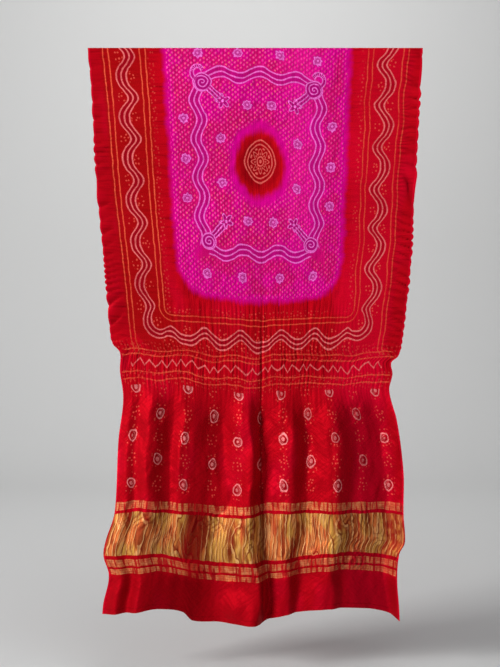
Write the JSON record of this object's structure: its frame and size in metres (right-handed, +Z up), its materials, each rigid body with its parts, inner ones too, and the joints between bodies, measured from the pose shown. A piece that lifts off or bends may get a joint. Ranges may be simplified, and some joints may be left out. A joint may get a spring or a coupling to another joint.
{
  "type": "hanging bandhani cloth",
  "caption": "Tie-dyed silk shawl cloth hanging by its top edge, crinkled and waved-bordered above, gathered at the waist, with a gold-banded end in soft folds.",
  "frame": {"origin": "middle of the cloth's top edge, where it is held", "axes": "+Z up, the cloth hangs from Z = 0 down; its face looks along -Y; +X to the right seen from its face"},
  "size_m": [0.905, 0.058, 1.5577],
  "materials": {
    "dyed_silk": "soft satin silk, dyed red around a magenta field, with gold bands at the end"
  },
  "bodies": {
    "root": {"cloth": "dyed_silk"}
  },
  "joints": []
}
